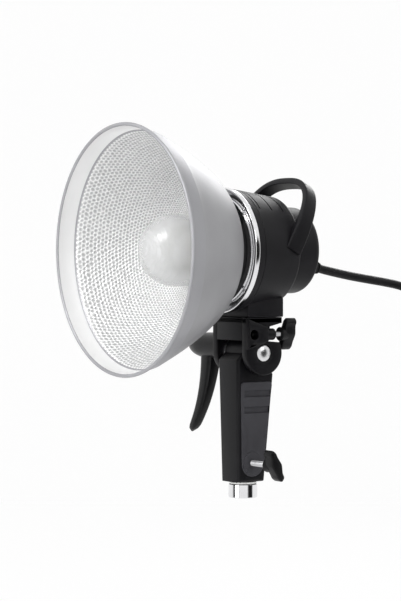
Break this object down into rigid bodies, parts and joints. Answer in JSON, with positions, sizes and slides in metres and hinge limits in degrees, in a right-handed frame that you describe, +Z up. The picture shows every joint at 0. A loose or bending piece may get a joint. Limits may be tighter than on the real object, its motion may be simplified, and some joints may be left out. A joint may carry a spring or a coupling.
{
  "type": "studio flash",
  "caption": "Studio flash head with a spun bowl reflector, glass dome, carrying arch, tilting yoke and a hand grip that fits over a lighting stand's spigot.",
  "frame": {"origin": "centre of the stand socket's lower rim", "axes": "+Z up the stand socket, -Y the way the light shines, +X towards the tilt bolt's head"},
  "size_m": [0.2576, 0.4487, 0.3878],
  "materials": {
    "spun_aluminium": "satin spun",
    "black_metal": "black enamel",
    "steel": "plain",
    "chrome": "bright plated",
    "black_plastic": "fine grain",
    "rubber": "matt",
    "ceramic": "unglazed",
    "glass": "clear",
    "nylon": "white, smooth",
    "brass": "turned",
    "potted_winding": "varnished"
  },
  "bodies": {
    "grip": {"grip_core": "black_plastic", "grip_panel_right": "rubber", "grip_panel_left": "rubber", "stand_socket": "chrome", "socket_collar": "nylon", "screw_insert": "brass"},
    "stand_screw": {"stand_clamp_stud": "steel"},
    "stand_knob": {"stand_clamp_knob": "black_plastic"},
    "head": {"mount_trim_ring": "chrome", "mount_face": "chrome", "mount_screw_1": "steel", "mount_screw_2": "steel", "mount_screw_3": "steel", "mount_screw_4": "steel", "bayonet_ring": "chrome", "front_bulkhead": "steel", "body_shell": "black_plastic", "rear_cap": "black_plastic", "rear_cap_screw_1": "steel", "rear_cap_screw_2": "steel", "rear_cap_screw_3": "steel", "rear_cap_screw_4": "steel", "lamp_base": "ceramic", "glass_dome": "glass", "flash_tube": "glass", "modelling_lamp_holder": "ceramic", "modelling_lamp": "glass", "trigger_transformer": "potted_winding", "terminal_block": "nylon", "carry_handle": "black_plastic", "mount_foot": "black_plastic", "yoke_frame": "black_plastic", "yoke_bolt_1": "steel", "yoke_bolt_2": "steel", "tilt_bolt": "chrome", "friction_disc_right": "steel", "friction_disc_left": "steel", "cord_gland": "rubber", "cord_run": "rubber", "cord_coil": "rubber", "cord_tie": "rubber", "cord_tail": "rubber", "cord_plug": "black_plastic", "plug_contacts": "brass"},
    "reflector": {"reflector_bowl": "spun_aluminium", "reflector_collar": "black_metal", "reflector_rivet_1": "steel", "reflector_rivet_2": "steel", "reflector_rivet_3": "steel"},
    "release": {"release_slider": "black_plastic"},
    "lever": {"clamp_lever": "black_plastic"},
    "shaft_screw": {"shaft_clamp_stud": "steel"},
    "shaft_knob": {"shaft_clamp_knob": "black_plastic"},
    "plug_ring": {"plug_lock_ring": "steel"}
  },
  "joints": [
    {"name": "head_tilt", "type": "hinge", "parent": "grip", "child": "head", "pos_m": [0, 0.0055, 0.152], "axis": [1, 0, 0], "range_deg": [-90, 45]},
    {"name": "lever_turn", "type": "hinge", "parent": "head", "child": "lever", "pos_m": [0, 0.0055, 0.152], "axis": [1, 0, 0], "range_deg": [-50, 55]},
    {"name": "reflector_twist", "type": "hinge", "parent": "head", "child": "reflector", "pos_m": [0, 0.0055, 0.259], "axis": [0, -1, 0], "range_deg": [0, 40]},
    {"name": "release_slide", "type": "slide", "parent": "head", "child": "release", "axis": [0, 1, 0], "range_m": [0, 0.004], "stiffness_N_per_m": 400, "springref_m": -0.002},
    {"name": "shaft_screw_advance", "type": "slide", "parent": "head", "child": "shaft_screw", "axis": [0, -1, 0], "range_m": [-0.0015, 0.0015]},
    {"name": "shaft_screw_turn", "type": "hinge", "parent": "shaft_screw", "child": "shaft_knob", "pos_m": [0.0284, 0.0264, 0.1716], "axis": [0, -1, 0], "range_deg": [-540, 540]},
    {"name": "stand_screw_advance", "type": "slide", "parent": "grip", "child": "stand_screw", "axis": [-1, 0, 0], "range_m": [-0.0015, 0.0015]},
    {"name": "stand_screw_turn", "type": "hinge", "parent": "stand_screw", "child": "stand_knob", "pos_m": [0.0443, 0, 0.037], "axis": [-1, 0, 0], "range_deg": [-540, 540]},
    {"name": "plug_ring_turn", "type": "hinge", "parent": "head", "child": "plug_ring", "pos_m": [0, 0.2817, 0.025], "axis": [0, 0, 1], "range_deg": [0, 60]}
  ],
  "couplings": [
    {"joint": "shaft_screw_advance", "follows": "shaft_screw_turn", "m_per_rad": 0.00015915},
    {"joint": "stand_screw_advance", "follows": "stand_screw_turn", "m_per_rad": 0.00015915}
  ]
}
